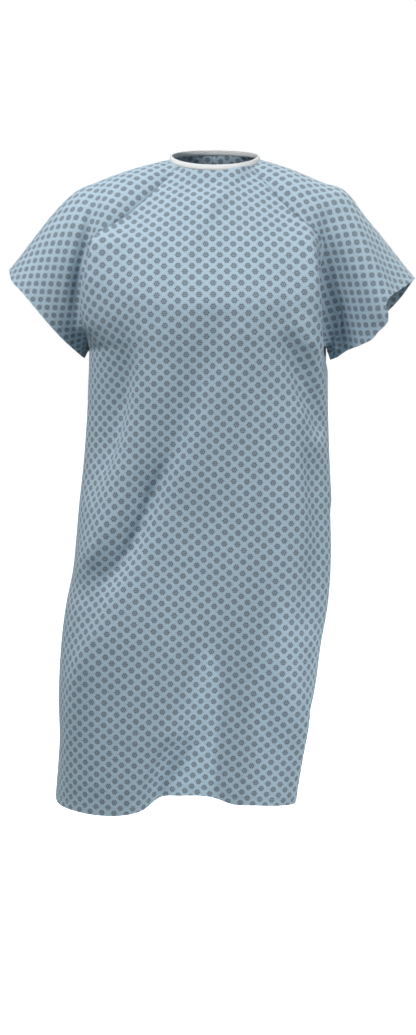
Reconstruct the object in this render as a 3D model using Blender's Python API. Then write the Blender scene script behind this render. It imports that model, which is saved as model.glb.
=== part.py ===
"""Patient gown: a raglan-sleeved cloth gown that ties at the back of the neck and waist.

Metres, +Z up. The front of the gown faces -Y and the wearer's left is +X. The origin is the
centre of the neckline. Each cloth piece is a thin closed shell. A piece that moves has its
object origin on its joint's axis.
"""
import math

import bpy
import numpy as np

# Driving sizes
SHELL = 0.0016              # thickness of a cloth shell
SEAM_GAP = 0.0012           # each piece stops this far short of a seam line
HEM_WIDTH = 0.014           # turned hems
HEM_Z = -1.130              # lower edge of the skirt

# Neckline: an oval that dips at the front
NECK_HALF_WIDTH = 0.078
NECK_DEPTH = {"front": 0.078, "back": 0.066}
NECK_MID_Z, NECK_TILT = -0.005, 0.015
SEAM_ANGLE = {"front": 58.0, "back": 125.0}     # where the raglan seams meet the neckline
SEAM_DROP = 0.95            # exponent of a raglan seam's fall
BINDING_HEIGHT, BINDING_SHELL, BINDING_STEPS = 0.008, 0.0024, 61

# Armholes: each lies in an upright plane and is an oval, rounder above than below
ARM_X = {"left": 0.198, "right": -0.222}
ARM_Z, ARM_HALF_DEPTH = -0.155, 0.100
ARM_TOP, ARM_DROP = 0.105, 0.180
UNDERARM_Z = ARM_Z - ARM_DROP
SHOULDER_SLOPE = 1.25       # exponent of the shoulder line's fall

# Sleeve openings: tip and underarm points of each slanted oval
SLEEVE_TIP = {"left": (0.355, -0.210), "right": (-0.361, -0.196)}
SLEEVE_UNDER = {"left": (0.209, -0.356), "right": (-0.235, -0.350)}
SLEEVE_HALF_DEPTH = 0.085
SLEEVE_CLEARANCE = 0.002    # between the armhole's plane and the sleeve

# A sleeve line leaves and arrives along (outward, up) directions given at the underarm and the
# top, and bends over these shares of its length
LEAVE_UNDER, LEAVE_TOP, LEAVE_SHARE = (0.25, -0.95), (0.95, -0.30), 0.24
ARRIVE_UNDER, ARRIVE_TOP, ARRIVE_SHARE = (0.40, -0.75), (0.65, -0.75), 0.36

# Skirt: the side seams run straight from the flap hinges to the hem
FLAP_TOP = -0.600
SIDE_AT_FLAP = {"left": 0.2055, "right": -0.2390}
SIDE_AT_HEM = {"left": 0.1470, "right": -0.2860}
TILT_FADE = 0.13            # height over which the flap's square-cut top edge levels out
VENT_TOP, VENT_HALF_WIDTH = -0.455, 0.030       # the back edges part below the waist tie
VENT_CURVE = 1.3

# Depth of the body at its middle, as (height, depth) stations
FRONT_DEPTH = [(-0.04, 0.104), (-0.085, 0.131), (-0.155, 0.158), (-0.27, 0.176), (-0.45, 0.170),
               (-0.75, 0.165), (HEM_Z, 0.172)]
BACK_DEPTH = [(-0.04, 0.092), (-0.085, 0.112), (-0.155, 0.128), (-0.30, 0.138), (-0.50, 0.132),
              (-0.80, 0.165), (HEM_Z, 0.155)]
ROUNDNESS = 2.4             # exponent of the body's oval section
NECK_BLEND = 0.5            # share of the raglan over which rows leave the neckline's shape

# Ties
TAPE_WIDTH, TAPE_SHELL, TAPE_LIFT = 0.010, 0.0016, 0.0012
TIE_HALF_GAP = 0.001        # from the back opening to a tie's end
PATCH_SIZE, PATCH_SHELL = 0.030, 0.0012
WAIST_Z = -0.420
PATCH_X = 0.026             # nearer edge of a patch from the back opening
BOW_KNOT, BOW_LOOP, BOW_TAIL = 0.008, 0.030, 0.048
BOW_TAIL_LEAN, BOW_TAIL_SPREAD, BOW_DOWN = 0.07, 0.17, 0.75     # in turns, radians, turns
BOW_LOOP_SHARPNESS = 5
BOW_THICK, BOW_LIFT, BOW_SIDES = 0.005, 0.0060, 72
BACK_HALF_WIDTH = 0.212
SLOPE_STEP = 0.004          # over which the back's slope is measured
NECK_BOW_DROP, NECK_TIE_REACH = 0.014, 0.030
STRIP_STEPS = 7

# Mesh density
RAGLAN_ROWS, ARMHOLE_ROWS, BODY_ROWS, FLAP_ROWS = 7, 8, 10, 16
FRONT_COLUMNS, BACK_COLUMNS, ARCH_COLUMNS, SLEEVE_ROWS = 25, 13, 15, 9
SLEEVE_COLUMNS = 36

GOWN_BLUE = (0.33, 0.44, 0.52)
BINDING_WHITE = (0.78, 0.78, 0.78)


def clear_scene():
    for obj in list(bpy.data.objects):
        bpy.data.objects.remove(obj, do_unlink=True)


def make_material(name, color, roughness):
    material = bpy.data.materials.new(name)
    material.use_nodes = True
    shader = material.node_tree.nodes["Principled BSDF"]
    shader.inputs["Base Color"].default_value = (*color, 1.0)
    shader.inputs["Roughness"].default_value = roughness
    shader.inputs["Metallic"].default_value = 0.0
    return material


# The gown's form

def smooth(value):
    value = min(max(value, 0.0), 1.0)
    return value * value * (3 - 2 * value)


def mix(start, end, weight):
    return np.asarray(start) * (1 - weight) + np.asarray(end) * weight


def station(stations, z):
    """Depth at height z, eased between the stations by a cubic through them."""
    heights = [-height for height, _ in stations]
    depths = [depth for _, depth in stations]
    slopes = np.gradient(depths, heights)
    at = min(max(-z, heights[0]), heights[-1])
    k = min(int(np.searchsorted(heights, at, side="right")) - 1, len(heights) - 2)
    span = heights[k + 1] - heights[k]
    t = (at - heights[k]) / span
    return ((2 * t**3 - 3 * t**2 + 1) * depths[k] + (t**3 - 2 * t**2 + t) * span * slopes[k]
            + (3 * t**2 - 2 * t**3) * depths[k + 1] + (t**3 - t**2) * span * slopes[k + 1])


def neck_point(angle):
    """A point of the neckline, angle degrees round from the front towards +X."""
    a = math.radians(angle)
    depth = NECK_DEPTH["front"] if math.cos(a) > 0 else NECK_DEPTH["back"]
    return np.array((NECK_HALF_WIDTH * math.sin(a), -depth * math.cos(a),
                     NECK_MID_Z - NECK_TILT * math.cos(a)))


def sign(side):
    return 1 if side == "left" else -1


def seam_point(side, face, t):
    """Raglan seam: t is 0 at the neckline and 1 where the seam enters the armhole's plane."""
    neck = neck_point(sign(side) * SEAM_ANGLE[face])
    out = -1 if face == "front" else 1
    x = neck[0] + (ARM_X[side] - neck[0]) * t
    y = neck[1] + (out * ARM_HALF_DEPTH - neck[1]) * (1 - (1 - t) ** 3)
    z = neck[2] + (ARM_Z - neck[2]) * t**SEAM_DROP
    return np.array((x, y, z))


def armhole_point(side, angle):
    """A point of the armhole, angle degrees from its top towards the front."""
    a = math.radians(angle)
    rise = ARM_TOP if math.cos(a) > 0 else ARM_DROP
    return np.array((ARM_X[side], -ARM_HALF_DEPTH * math.sin(a), ARM_Z + rise * math.cos(a)))


def side_point(side, z):
    """Side seam, below the underarm."""
    if z > FLAP_TOP:
        t = (UNDERARM_Z - z) / (UNDERARM_Z - FLAP_TOP)
        return np.array((ARM_X[side] + (SIDE_AT_FLAP[side] - ARM_X[side]) * t * t, 0.0, z))
    t = (FLAP_TOP - z) / (FLAP_TOP - HEM_Z)
    return np.array((SIDE_AT_FLAP[side] + (SIDE_AT_HEM[side] - SIDE_AT_FLAP[side]) * t, 0.0, z))


def hinge_direction(side):
    way = side_point(side, FLAP_TOP) - side_point(side, HEM_Z)
    return way / np.linalg.norm(way)


def body_row(side, face, edge, t, raglan):
    """A point of the row that ends at the seam point edge: t is 0 at the middle, 1 at the seam.

    raglan runs from 0 at the neckline to 1 at the armhole's plane, and on to 2 at the underarm.
    """
    depth = station(FRONT_DEPTH if face == "front" else BACK_DEPTH, edge[2])
    out = -1 if face == "front" else 1
    across = math.sin(math.pi / 2 * t)
    middle = (side_point("left", edge[2])[0] + side_point("right", edge[2])[0]) / 2
    if edge[2] > UNDERARM_Z:
        middle = (ARM_X["left"] + ARM_X["right"]) / 2 * smooth(raglan)
    power = mix(1.0, 1 / ROUNDNESS, smooth(raglan / 2))
    rise = (1 - across**ROUNDNESS) ** power
    point = np.array((middle + (edge[0] - middle) * across,
                      edge[1] + (out * depth - edge[1]) * rise, edge[2]))
    facing = 0 if face == "front" else 180
    neck = neck_point(sign(side) * (facing + (SEAM_ANGLE[face] - facing) * t))
    return mix(neck, point, smooth(raglan / NECK_BLEND))


def lower_edges(side, z_high, z_low, steps):
    """Seam points of a panel's rows from z_high down the side seam to z_low."""
    return [(side_point(side, z), 2.0) for z in np.linspace(z_high, z_low, steps + 1)]


def upper_edges(side, face):
    """Seam points and raglan values of a panel's rows, from the neckline to the flap hinges."""
    rows = [(seam_point(side, face, t), t) for t in np.linspace(0, 1, RAGLAN_ROWS)]
    start = 90.0 if face == "front" else -90.0
    for k in range(1, ARMHOLE_ROWS + 1):
        share = k / ARMHOLE_ROWS
        rows.append((armhole_point(side, start + start * share), 1 + share))
    return rows + lower_edges(side, UNDERARM_Z, FLAP_TOP, BODY_ROWS)[1:]


def tilt_rows(grid, side, weight):
    """Slants rows so that they lie square to the flap's hinge: weight is one value a row."""
    way = hinge_direction(side)
    slope = -way[0] / way[2]
    for i, share in enumerate(np.clip(weight, 0, 1)):
        grid[i, :, 2] += share * slope * (grid[i, :, 0] - grid[i, -1, 0])
    return grid


def front_grid(right_edges, left_edges):
    """The front, as rows of points from the wearer's right seam to the left."""
    half = np.linspace(0, 1, FRONT_COLUMNS // 2 + 1)
    grid = []
    for (right, raglan), (left, _) in zip(right_edges, left_edges):
        row = [body_row("right", "front", right, t, raglan) for t in half[::-1]]
        row += [body_row("left", "front", left, t, raglan) for t in half[1:]]
        grid.append(row)
    return np.array(grid)


def vent_half_gap(z):
    share = max((VENT_TOP - z) / (VENT_TOP - HEM_Z), 0.0)
    return SEAM_GAP / 2 + VENT_HALF_WIDTH * share**VENT_CURVE


def back_grid(side, edges):
    """A back half, as rows of points from its edge at the middle to its side seam."""
    grid = [[body_row(side, "back", edge, t, raglan) for t in np.linspace(0, 1, BACK_COLUMNS)]
            for edge, raglan in edges]
    grid = np.array(grid)
    for i in range(len(grid)):
        width = abs(grid[i, -1, 0] - grid[i, 0, 0])
        pull = vent_half_gap(grid[i, -1, 2])
        share = (1 - np.abs(grid[i, :, 0] - grid[i, 0, 0]) / width) ** 2
        grid[i, :, 0] += sign(side) * pull * share
    return grid


def yoke_grid(side):
    """The shoulder part of a sleeve: rows from the neckline to the armhole, front to back."""
    grid = []
    for t in np.linspace(0, 1, RAGLAN_ROWS):
        front, back = seam_point(side, "front", t), seam_point(side, "back", t)
        neck_z = neck_point(90)[2]
        top_z = neck_z + (ARM_Z + ARM_TOP - neck_z) * t**SHOULDER_SLOPE
        top = np.array((NECK_HALF_WIDTH * sign(side)
                        + (ARM_X[side] - NECK_HALF_WIDTH * sign(side)) * t, 0.0, top_z))
        row = []
        for w in np.linspace(-1, 1, ARCH_COLUMNS):
            across = math.sin(math.pi / 2 * w)
            edge = mix(front, back, (1 + across) / 2)
            arch = edge.copy()
            rise = math.sqrt(max(1 - across * across, 0.0))
            arch[0] = edge[0] + (top[0] - edge[0]) * rise
            arch[2] = edge[2] + (top[2] - edge[2]) * rise
            middle = (SEAM_ANGLE["front"] + SEAM_ANGLE["back"]) / 2
            spread = (SEAM_ANGLE["back"] - SEAM_ANGLE["front"]) / 2
            neck = neck_point(sign(side) * (middle + spread * w))
            row.append(mix(neck, arch, smooth(t / NECK_BLEND)))
        grid.append(row)
    return np.array(grid)


def opening_point(side, angle):
    """A point of the sleeve's lower edge, angle degrees from its tip towards the front."""
    a = math.radians(angle)
    tip, under = np.array(SLEEVE_TIP[side]), np.array(SLEEVE_UNDER[side])
    x, z = (tip + under) / 2 + (tip - under) / 2 * math.cos(a)
    return np.array((x, -SLEEVE_HALF_DEPTH * math.sin(a), z))


def sleeve_point(side, angle, t):
    """Outer sleeve: t is 0 beside the armhole and 1 at the sleeve's lower edge."""
    start, end = armhole_point(side, angle), opening_point(side, angle)
    start[0] += sign(side) * SLEEVE_CLEARANCE
    reach = np.linalg.norm(end - start)
    top = (1 + math.cos(math.radians(angle))) / 2
    leave, arrive = mix(LEAVE_UNDER, LEAVE_TOP, top), mix(ARRIVE_UNDER, ARRIVE_TOP, top)
    one = start + np.array((sign(side) * leave[0], 0.0, leave[1])) * reach * LEAVE_SHARE
    two = end - np.array((sign(side) * arrive[0], 0.0, arrive[1])) * reach * ARRIVE_SHARE
    return ((1 - t) ** 3 * start + 3 * (1 - t) ** 2 * t * one + 3 * (1 - t) * t * t * two
            + t**3 * end)


def sleeve_grid(side, part, rows):
    """Rings of points round the sleeve or its hem, from the armhole outwards."""
    angles = np.arange(SLEEVE_COLUMNS) * 360.0 / SLEEVE_COLUMNS
    grid = []
    for share in np.linspace(0, 1, rows):
        ring = []
        for angle in angles:
            reach = np.linalg.norm(opening_point(side, angle) - armhole_point(side, angle))
            hem = 1 - HEM_WIDTH / reach
            t = hem * share if part == "sleeve" else hem + (1 - hem) * share
            ring.append(sleeve_point(side, angle, t))
        grid.append(ring)
    return np.array(grid)


# Turning grids into closed shells

def trim(grid, top=False, bottom=False, first=False, last=False):
    """Draws the chosen edges of a grid back from their seams."""
    def pull(edge, inner):
        way = inner - edge
        return edge + way * (SEAM_GAP / np.linalg.norm(way, axis=-1, keepdims=True))
    grid = grid.copy()
    if top:
        grid[0] = pull(grid[0], grid[1])
    if bottom:
        grid[-1] = pull(grid[-1], grid[-2])
    if first:
        grid[:, 0] = pull(grid[:, 0], grid[:, 1])
    if last:
        grid[:, -1] = pull(grid[:, -1], grid[:, -2])
    return grid


def shell(name, grid, material, thickness=SHELL, flip=False, ring=False, pivot=(0, 0, 0)):
    """A closed shell whose outer face is the grid, with its origin at pivot."""
    rows, columns = grid.shape[:2]
    pivot = np.asarray(pivot, dtype=float)
    points = [tuple(point) for point in (grid - pivot).reshape(-1, 3)]
    faces = []
    for i in range(rows - 1):
        for j in range(columns if ring else columns - 1):
            k = (j + 1) % columns
            face = (i * columns + j, i * columns + k, (i + 1) * columns + k, (i + 1) * columns + j)
            faces.append(face[::-1] if flip else face)
    mesh = bpy.data.meshes.new(name)
    mesh.from_pydata(points, [], faces)
    mesh.update()
    mesh.shade_smooth()
    mesh.materials.append(material)
    obj = bpy.data.objects.new(name, mesh)
    bpy.context.collection.objects.link(obj)
    obj.location = pivot
    solid = obj.modifiers.new("Cloth thickness", "SOLIDIFY")
    solid.thickness = thickness
    solid.offset = -1.0
    return obj


def make_panels(cloth):
    hem_top = HEM_Z + HEM_WIDTH
    upper = {side: upper_edges(side, "front") + lower_edges(side, FLAP_TOP, hem_top, FLAP_ROWS)[1:]
             for side in ("right", "left")}
    front = trim(front_grid(upper["right"], upper["left"]), top=True, bottom=True, first=True,
                 last=True)
    shell("front_panel", front, cloth, flip=True)
    hem = front_grid(*(lower_edges(side, hem_top, HEM_Z, 2) for side in ("right", "left")))
    shell("front_hem", trim(hem, top=True, first=True, last=True), cloth, flip=True)
    for side in ("left", "right"):
        flip = side == "right"
        hinge = side_point(side, FLAP_TOP)
        panel = back_grid(side, upper_edges(side, "back"))
        panel = tilt_rows(panel, side, 1 - (panel[:, -1, 2] - FLAP_TOP) / TILT_FADE)
        panel = trim(panel, top=True, bottom=True, last=True)
        shell(f"{side}_back_panel", panel, cloth, flip=flip)
        flap = back_grid(side, lower_edges(side, FLAP_TOP, hem_top, FLAP_ROWS))
        flap = tilt_rows(flap, side, np.linspace(1, 0, FLAP_ROWS + 1))
        flap = trim(flap, top=True, bottom=True, last=True)
        shell(f"{side}_back_flap", flap, cloth, flip=flip, pivot=hinge)
        hem = trim(back_grid(side, lower_edges(side, hem_top, HEM_Z, 2)), top=True, last=True)
        shell(f"{side}_back_hem", hem, cloth, flip=flip, pivot=hinge)


def make_sleeves(cloth):
    for side in ("left", "right"):
        flip = side == "right"
        yoke = trim(yoke_grid(side), top=True, bottom=True, first=True, last=True)
        shell(f"{side}_sleeve_yoke", yoke, cloth, flip=not flip)
        hinge = armhole_point(side, 0)
        outer = trim(sleeve_grid(side, "sleeve", SLEEVE_ROWS), top=True, bottom=True)
        shell(f"{side}_sleeve", outer, cloth, ring=True, flip=flip, pivot=hinge)
        hem = trim(sleeve_grid(side, "hem", 3), top=True)
        shell(f"{side}_sleeve_hem", hem, cloth, ring=True, flip=flip, pivot=hinge)


def make_binding(white):
    """The neck binding: a band that stands on the neckline and is open at the back."""
    opening = math.degrees(SEAM_GAP / NECK_HALF_WIDTH)
    rings = []
    for height in (BINDING_HEIGHT, BINDING_HEIGHT / 2, SEAM_GAP / 2):
        angles = np.linspace(opening - 180, 180 - opening, BINDING_STEPS)
        ring = [neck_point(angle) for angle in angles]
        rings.append(np.array(ring) + np.array((0, 0, height)))
    shell("neck_binding", np.array(rings), white, thickness=BINDING_SHELL, flip=True)


# Ties, which lie on the outside of the back

def back_surface(x, z):
    """The point of the back's outer face above (x, z), with its outward direction."""
    def depth_at(px, pz):
        share = abs(px - back_middle(pz)) / BACK_HALF_WIDTH
        return middle_depth(pz) * (1 - share**ROUNDNESS) ** (1 / ROUNDNESS)
    run = 2 * SLOPE_STEP
    across = (depth_at(x + SLOPE_STEP, z) - depth_at(x - SLOPE_STEP, z)) / run
    up = (depth_at(x, z + SLOPE_STEP) - depth_at(x, z - SLOPE_STEP)) / run
    normal = np.array((-across, 1.0, -up))
    return np.array((x, depth_at(x, z), z)), normal / np.linalg.norm(normal)


def middle_depth(z):
    """Depth of the back at its middle, which curves in to the neckline above the armholes."""
    if z < ARM_Z:
        return station(BACK_DEPTH, z)
    rows = [body_row("left", "back", seam_point("left", "back", t), 0.0, t)
            for t in np.linspace(1, 0, 4 * RAGLAN_ROWS)]
    return float(np.interp(z, [row[2] for row in rows], [row[1] for row in rows]))


def back_middle(z):
    """Where the back edges meet."""
    if z < UNDERARM_Z:
        return (side_point("left", z)[0] + side_point("right", z)[0]) / 2
    share = (z - neck_point(180)[2]) / (ARM_Z - neck_point(180)[2])
    return (ARM_X["left"] + ARM_X["right"]) / 2 * smooth(share)


def laid_strip(name, start, end, width, lift, thickness, material):
    """A flat strip on the back, from start to end, both (x, z)."""
    start, end = np.array(start), np.array(end)
    way = (end - start) / np.linalg.norm(end - start)
    square = np.array((-way[1], way[0]))
    grid = []
    for s in np.linspace(0, 1, STRIP_STEPS):
        row = []
        for w in (-0.5, 0.0, 0.5):
            x, z = start + (end - start) * s + square * width * w
            point, normal = back_surface(x, z)
            row.append(point + normal * (lift + thickness))
        grid.append(row)
    shell(name, np.array(grid), material, thickness=thickness)


def make_bow(name, centre, material):
    """A tied bow: a knot with two loops and two tails, cut from one outline."""
    point, normal = back_surface(*centre)
    right = np.array((1.0, 0.0, 0.0))
    up = np.cross(right, normal)
    rim = []
    for a in np.arange(BOW_SIDES) * math.tau / BOW_SIDES:
        loops = BOW_LOOP * abs(math.cos(a)) ** BOW_LOOP_SHARPNESS
        tails = 0.0
        for lean in (-BOW_TAIL_LEAN, BOW_TAIL_LEAN):
            turn = a - math.tau * (BOW_DOWN + lean)
            tails += BOW_TAIL * math.exp(-((turn / BOW_TAIL_SPREAD) ** 2))
        rim.append((BOW_KNOT + loops + tails) * (right * math.cos(a) + up * math.sin(a)))
    low, high = point + normal * BOW_LIFT, point + normal * (BOW_LIFT + BOW_THICK)
    points = [low + p for p in rim] + [high + p for p in rim] + [low, high]
    faces = []
    for k in range(BOW_SIDES):
        n = (k + 1) % BOW_SIDES
        faces.append((n, k, BOW_SIDES + k, BOW_SIDES + n))
        faces.append((k, n, 2 * BOW_SIDES))
        faces.append((BOW_SIDES + n, BOW_SIDES + k, 2 * BOW_SIDES + 1))
    mesh = bpy.data.meshes.new(name)
    mesh.from_pydata([tuple(p) for p in points], [], faces)
    mesh.update()
    mesh.materials.append(material)
    bpy.context.collection.objects.link(bpy.data.objects.new(name, mesh))


def make_ties(cloth, white):
    neck_tie_z = neck_point(180)[2] - NECK_BOW_DROP
    middle = back_middle(WAIST_Z)
    for side in ("left", "right"):
        s = sign(side)
        near, far = middle + s * PATCH_X, middle + s * (PATCH_X + PATCH_SIZE)
        laid_strip(f"{side}_tie_patch", (near, WAIST_Z), (far, WAIST_Z), PATCH_SIZE, TAPE_LIFT,
                   PATCH_SHELL, cloth)
        start, end = middle + s * TIE_HALF_GAP, (near + far) / 2
        laid_strip(f"{side}_waist_tie", (start, WAIST_Z), (end, WAIST_Z), TAPE_WIDTH,
                   2 * TAPE_LIFT + PATCH_SHELL, TAPE_SHELL, white)
        laid_strip(f"{side}_neck_tie", (s * TIE_HALF_GAP, neck_tie_z),
                   (s * NECK_TIE_REACH, neck_tie_z), TAPE_WIDTH, TAPE_LIFT, TAPE_SHELL, white)
    make_bow("waist_bow", (middle, WAIST_Z), white)
    make_bow("neck_bow", (0.0, neck_tie_z), white)


def main():
    clear_scene()
    cloth = make_material("gown_cloth", GOWN_BLUE, 0.9)
    white = make_material("binding_tape", BINDING_WHITE, 0.85)
    make_panels(cloth)
    make_sleeves(cloth)
    make_binding(white)
    make_ties(cloth, white)


main()
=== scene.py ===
"""Visual model of the patient gown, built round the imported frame.

The cloth is one welded net of pattern pieces. Its form follows the frame, folds are then pressed
into it, and it is cut along its seams into the gown's pieces. Metres, +Z up, the gown's front is
towards -Y, and the wearer's left is +X.
"""
import math
from collections import Counter

import bmesh
import bpy
import numpy as np
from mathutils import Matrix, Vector
from mathutils.bvhtree import BVHTree
from mathutils.kdtree import KDTree


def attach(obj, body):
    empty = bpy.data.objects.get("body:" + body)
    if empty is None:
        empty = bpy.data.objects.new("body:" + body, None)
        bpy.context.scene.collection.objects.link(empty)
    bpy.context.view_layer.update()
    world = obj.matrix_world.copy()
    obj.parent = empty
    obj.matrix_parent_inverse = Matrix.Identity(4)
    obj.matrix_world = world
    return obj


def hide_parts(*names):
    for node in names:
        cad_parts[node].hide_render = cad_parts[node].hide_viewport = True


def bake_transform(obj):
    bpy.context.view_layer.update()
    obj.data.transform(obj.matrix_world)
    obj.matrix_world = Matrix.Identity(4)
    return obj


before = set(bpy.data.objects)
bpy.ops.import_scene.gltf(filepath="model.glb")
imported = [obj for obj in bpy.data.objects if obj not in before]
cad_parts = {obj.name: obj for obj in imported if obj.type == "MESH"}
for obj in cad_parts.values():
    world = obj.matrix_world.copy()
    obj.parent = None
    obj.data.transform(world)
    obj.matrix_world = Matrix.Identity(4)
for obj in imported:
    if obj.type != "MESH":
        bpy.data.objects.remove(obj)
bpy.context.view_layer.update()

# Camera, as the photograph was taken
CAMERA_DISTANCE, CAMERA_X, CAMERA_Z = 3.5, -0.012, -0.34
CAMERA_AIM_Z = -0.635
LENS, SENSOR = 68.6, 36.0
FLOOR_Z = -1.42

# The gown's form, close to the CAD's
NECK_HALF_WIDTH = 0.078
NECK_DEPTH = {"front": 0.078, "back": 0.066}
NECK_MID_Z = -0.005
NECK_TILT = {"front": 0.024, "back": 0.015}
SEAM_ANGLE = {"front": 58.0, "back": 125.0}     # where the raglan seams meet the neckline
SEAM_DROP = {"front": 0.68, "back": 0.85}       # exponents of the raglan seams' fall
NECK_BLEND = 0.5            # share of the raglan over which rows leave the neckline's shape
ARM_X = {"left": 0.198, "right": -0.222}
ARM_Z, ARM_HALF_DEPTH = -0.155, 0.100
ARM_TOP, ARM_DROP = 0.105, 0.180
UNDERARM_Z = ARM_Z - ARM_DROP
SHOULDER_SLOPE = 1.25       # exponent of the shoulder line's fall
SLEEVE_TIP = {"left": (0.355, -0.210), "right": (-0.361, -0.196)}
SLEEVE_UNDER = {"left": (0.204, -0.355), "right": (-0.230, -0.352)}
SLEEVE_HALF_DEPTH = 0.085
# Directions (out, up) in which a sleeve leaves the armhole and comes to its edge, at its underarm
# and at its top, and how far they hold, as shares of the way between
LEAVE_UNDER, LEAVE_TOP, LEAVE_SHARE = (0.25, -0.95), (0.95, -0.30), 0.24
ARRIVE_UNDER, ARRIVE_TOP, ARRIVE_SHARE = (0.40, -0.75), (0.65, -0.75), 0.36
HEM_Z, HEM_WIDTH = -1.130, 0.014
FLAP_TOP = -0.600
SIDE_AT_FLAP = {"left": 0.2055, "right": -0.2390}
SIDE_AT_HEM = {"left": 0.1470, "right": -0.2860}
VENT_TOP, VENT_HALF_WIDTH, VENT_CURVE = -0.455, 0.030, 1.3
BACK_HALF_GAP = 0.00015     # between the back's halves above the vent
# How far the front and back stand from the side seams' plane, and the exponents of the gown's
# oval sections, by height
FRONT_DEPTH = [(-0.02, 0.080), (-0.085, 0.110), (-0.155, 0.143), (-0.225, 0.173),
               (-0.262, 0.184), (-0.300, 0.184), (-0.360, 0.177), (-0.45, 0.169), (-0.60, 0.164),
               (-0.72, 0.164), (-0.86, 0.159), (-0.96, 0.154), (-1.05, 0.151), (HEM_Z, 0.148)]
BACK_DEPTH = [(-0.02, 0.072), (-0.085, 0.108), (-0.155, 0.126), (-0.30, 0.136), (-0.50, 0.128),
              (-0.80, 0.160), (HEM_Z, 0.150)]
ROUNDNESS = {"left": [(-0.30, 2.8), (-0.50, 3.4), (-0.70, 4.2), (HEM_Z, 4.6)],
             "right": [(-0.30, 2.7), (-0.50, 2.9), (-0.70, 3.2), (HEM_Z, 3.4)]}
WAIST_Z = -0.420            # the waist tie's height

BUST_CURVE = 1.0            # how fast the bust's line rises towards the sides
BUST_LOW, BUST_HIGH = -0.55, -0.35      # where the bust's line begins to rise, and rises in full
EDGE_PULL = 1.4             # how closely a row's depth keeps to its seam at its end
# The wearer's right leg is forward, from LEG_TOP down and in full from LEG_FULL. The tables run
# down the skirt, by height.
LEG_TOP, LEG_FULL = -0.62, -0.72
LEG_DEPTH = [(-0.62, 0.163), (-0.70, 0.166), (-0.80, 0.172), (-0.90, 0.175), (-1.0, 0.175),
             (HEM_Z, 0.173)]
CREASE_X = [(-0.70, -0.020), (-0.86, -0.016), (-0.96, -0.034), (-1.015, -0.056), (-1.055, -0.086),
            (-1.10, -0.112), (HEM_Z, -0.120)]
CREASE_WIDTH = [(-0.66, 0.26), (-0.80, 0.17), (-0.90, 0.12), (-1.00, 0.095), (HEM_Z, 0.060)]
CREST_X = [(-0.86, -0.006), (-0.96, 0.010), (-1.05, 0.004), (HEM_Z, 0.001)]
RECESS = [(-0.84, 0.0), (-0.90, 0.003), (-0.96, 0.006), (-1.05, 0.009), (HEM_Z, 0.010)]
# The hem's height above its lowest part, from the wearer's right to left
HEM_LIFT = [(-0.290, 0.0), (-0.145, -0.002), (-0.120, 0.004), (-0.098, 0.020), (-0.060, 0.024),
            (0.0, 0.021), (0.030, 0.010), (0.070, 0.007), (0.150, 0.001)]
HEM_LIFT_TOP = -0.85        # where the lift begins
# How far the skirt's sides stand out in front of the side seams, by height
SIDE_BULGE = {
    "left": [(-0.62, 0.0), (-0.70, 0.010), (-0.78, 0.014), (-0.85, 0.010), (-0.94, 0.008),
             (-1.00, 0.001), (HEM_Z, -0.001)],
    "right": [(-0.66, 0.0), (-0.72, 0.001), (-0.78, 0.008), (-0.94, 0.008), (-1.03, -0.001),
              (HEM_Z, -0.003)]}
BULGE_FROM, BULGE_FULL = 0.55, 0.85     # shares of the way from the middle to the side
BULGE_RISE = 0.35           # it fades out where the cloth rounds to the side seam

# Net density, in steps
RAGLAN_STEPS, ARMHOLE_STEPS, BODY_STEPS = 26, 26, 96
HALF_COLUMNS, ARCH_STEPS, SLEEVE_STEPS = 38, 40, 26

CLOTH_THICKNESS, HEM_THICKNESS = 0.0009, 0.0020


# Node trees

class Value:
    """A number that a node tree works out. Arithmetic on it adds the nodes that do it."""

    def __init__(self, nodes, socket):
        self.nodes, self.socket = nodes, socket

    def __add__(self, other):
        return self.nodes.calc("ADD", self, other)

    def __sub__(self, other):
        return self.nodes.calc("SUBTRACT", self, other)

    def __rsub__(self, other):
        return self.nodes.calc("SUBTRACT", other, self)

    def __mul__(self, other):
        return self.nodes.calc("MULTIPLY", self, other)

    def __truediv__(self, other):
        return self.nodes.calc("DIVIDE", self, other)

    def __abs__(self):
        return self.nodes.calc("ABSOLUTE", self)

    __radd__, __rmul__ = __add__, __mul__


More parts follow.
